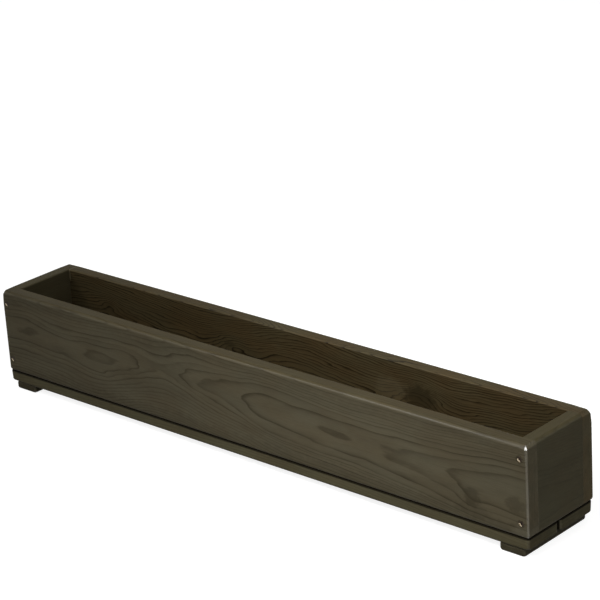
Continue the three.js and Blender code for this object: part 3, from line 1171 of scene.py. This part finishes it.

# %% [markdown]
# ### The back wall
#
# Only its inner face is seen from the front. It is painted browner and darker
# than the outside: partly thinner stain, partly painted shade and bounced
# light, since the light there has already met wood once. It has a large soft
# dark knot with tight rings round its upper side, a swirl further left where a
# branch was just missed, and a pale spot in its left corner.

# %% Back wall wood
BACK_PITH_HEIGHT = [
    (-450, 70), (-300, 62), (-117, 56), (0, 70), (205, 58), (300, 60), (450, 84),
]
BACK_PITH_DEPTH = [
    (-450, 74), (-350, 68), (-230, 72), (-117, 70), (0, 62), (120, 66), (205, 70),
    (320, 64), (450, 66),
]
BACK_KNOTS = [
    (203, 106, 30, 24, -13.0, 0.0),
    (158, 106, 16, 10, 0.0, -0.22),
    (204, 102, 31, 24, 0.0, 0.60),
    (-428.3, 138, 1.1, 5, 0.0, -0.95),
    (-117, 103, 26, 14, -9.0, 0.0),
    (-122, 103, 12, 6, 0.0, 0.4),
    (-352, 110, 12, 7, -4.0, 0.2),
]
BACK_TONES = ((78, 72, 55), (36, 31, 21), (79, 66, 46))
# The back wall's inner face: painted shade and bounced light of the trough, and thinner stain.
BACK_INNER_SHADE_TINT = (0.72, 0.65, 0.53, 1.0)
EVEN_GROWTH = [(0, 0), (60, 17.0), (100, 33.0), (130, 44.0), (160, 54.0)]

woods["back_wall"] = wood_material(
    "stained_pine_back", "XZY", (box_mm("back_wall")[0].y, 1.0),
    (BACK_PITH_HEIGHT, BACK_PITH_DEPTH), 11.0, BACK_TONES, BACK_KNOTS,
    inside=(Vector((0, -1, 0)), BACK_INNER_SHADE_TINT), inner_contrast=1.45,
    growth=EVEN_GROWTH, wander=3.2)

# %% [markdown]
# ### Ends, bottom and feet
#
# These boards are plainer. The ends are short and quiet, with faint lines
# that fall slightly towards the back. The bottom boards and the feet show
# only an edge, so an even straight grain is right for them. Painted shade
# darkens their lowest edge, the grooves above them and the slot between the
# bottom boards.

# %% Wood for the other boards
END_TONES = ((74, 70, 54), (57, 53, 40), (72, 65, 48))
BASE_TONES = ((78, 74, 56), (52, 48, 35), (76, 68, 50))
FOOT_TONES = ((64, 60, 46), (45, 41, 30), (61, 54, 40))
STRAIGHT_DEPTH = [(-450, 64), (0, 67), (450, 65)]
END_HEIGHTS = {
    -1: [(-450, 20), (0, 34), (450, 48)],
    1: [(-450, 118), (0, 60), (450, 2)],
}

for node, outwards in (("left_end", -1), ("right_end", 1)):
    low, high = box_mm(node)
    woods[node] = wood_material(
        "stained_pine_" + node, "YZX", (high.x if outwards > 0 else low.x, -outwards),
        (END_HEIGHTS[outwards], STRAIGHT_DEPTH), 17.0 + outwards * 5, END_TONES,
        inside=(Vector((-outwards, 0, 0)), INNER_SHADE_TINT), contrast=0.5, wander=2.0)

# Painted shade: the groove at the top edge, and the lowest edge near the floor.
BASE_SHADE_BANDS = [("Depth", 12.8, 14.0, 0.92), ("Depth", 3.0, 0.5, 0.55)]
FOOT_SHADE_BANDS = [("Depth", 10.6, 11.6, 0.8), ("Depth", 2.5, 0.3, 0.5)]
# Painted shade in the slot between the bottom boards.
slot_front = box_mm("base_board_front")[1].y
slot_rear = box_mm("base_board_rear")[0].y
FLAT_BOARDS = [
    ("base_board_front", "XYZ", -36.0, 23.0, BASE_TONES,
     [*BASE_SHADE_BANDS, ("Across", slot_front - 1.2, slot_front - 0.2, 0.9)]),
    ("base_board_rear", "XYZ", 30.0, 29.0, BASE_TONES,
     [*BASE_SHADE_BANDS, ("Across", slot_rear + 1.2, slot_rear + 0.2, 0.9)]),
    ("foot_left", "YXZ", -418.0, 37.0, FOOT_TONES, FOOT_SHADE_BANDS),
    ("foot_right", "YXZ", 430.0, 41.0, FOOT_TONES, FOOT_SHADE_BANDS),
]
for node, axes, middle, seed, tones, shade_bands in FLAT_BOARDS:
    across = [(-450, middle - 6), (0, middle), (450, middle + 7)]
    woods[node] = wood_material(
        "stained_pine_" + node, axes, (box_mm(node)[0].z, 1.0), (across, STRAIGHT_DEPTH),
        seed, tones, contrast=0.6, end_lift=-0.12, shade_bands=shade_bands)

for node, piece in boards.items():
    piece.data.materials.clear()
    piece.data.materials.append(woods[node])
print(len(woods), "boards have their own wood")

# %% [markdown]
# ## The screw metal
#
# The small yellow screws were driven before the last coat: the film of stain
# dulls them and gathers in the cross. A flat gold would look like a toy. The
# metal keeps its glint where the film is worn.

# %% Screw material
METAL_LIGHT = paint(222, 204, 176)
METAL_DARK = paint(84, 70, 48)
STAIN_FILM = paint(47, 37, 26)
FILM_SPECULAR = 0.12


def screw_material(name, bare_from, bare_to):
    """Yellow steel with a worn film of stain."""
    material, tree = new_material(name)
    position = put(tree, "ShaderNodeTexCoord", {}).outputs["Object"]
    tarnish, film = (
        put(tree, "ShaderNodeTexNoise",
            {"Vector": position, "Scale": scale, "Detail": detail}).outputs[0]
        for scale, detail in ((900.0, 3.0), (420.0, 2.0)))
    metal = blend(tree, ramp(tree, tarnish, 0.35, 0.65), METAL_LIGHT, METAL_DARK)
    filmed = ramp(tree, film, bare_from, bare_to)
    cover(tree, {"Height": tarnish, "Distance": 0.05 * MM, "Strength": 0.6}, {
        "Base Color": blend(tree, filmed, metal, STAIN_FILM),
        "Metallic": between(tree, filmed, 1.0, 0.1),
        "Roughness": ramp(tree, tarnish, 0.3, 0.7, 0.28, 0.42),
        "Specular IOR Level": FILM_SPECULAR,
    })
    return material

# %% [markdown]
# The film lies thick on the head and in its recess. Where the driver slipped,
# on the lower left of each head, it is rubbed off.

# %% Lay the metals on the screws
METALS = [
    screw_material("yellow_screw_steel", 0.42, 0.54),
    screw_material("stain_filmed_head", 0.10, 0.20),
    screw_material("rubbed_head", 1.1, 1.2),
]
FILMED, RUBBED = 1, 2
RUBBED_WAY = Vector((-0.70, 0.0, -0.71))
RUBBED_FROM = RECESS_LENGTH * 0.4
HEAD_TOP = 0.02 * MM

for node, piece in screws.items():
    head, tip_way, length = screw_place(node)
    piece.data.materials.clear()
    for metal in METALS:
        piece.data.materials.append(metal)
    for face in piece.data.polygons:
        away = face.center - head
        depth = away.dot(tip_way)
        aside = away - tip_way * depth
        if depth < HEAD_TOP:
            slipped = aside.normalized().dot(RUBBED_WAY) > 0.6
            face.material_index = RUBBED if slipped and aside.length > RUBBED_FROM else FILMED
        elif depth < RECESS_DEPTH + HEAD_EASING and aside.length < RECESS_LENGTH / 2:
            face.material_index = FILMED

# %% [markdown]
# ## Handing the pieces over
#
# Nothing on a screwed box moves, so every piece rides on the one body. Each
# takes the place of the CAD node with its name, which is then hidden but
# still stands for it where contact is worked out.

# %% Tie each piece to the frame
for node, (edges, corners, slot_name) in BOARDS.items():
    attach(boards[node], "root")
    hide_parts(node)
for node, piece in screws.items():
    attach(piece, "root")
    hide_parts(node)
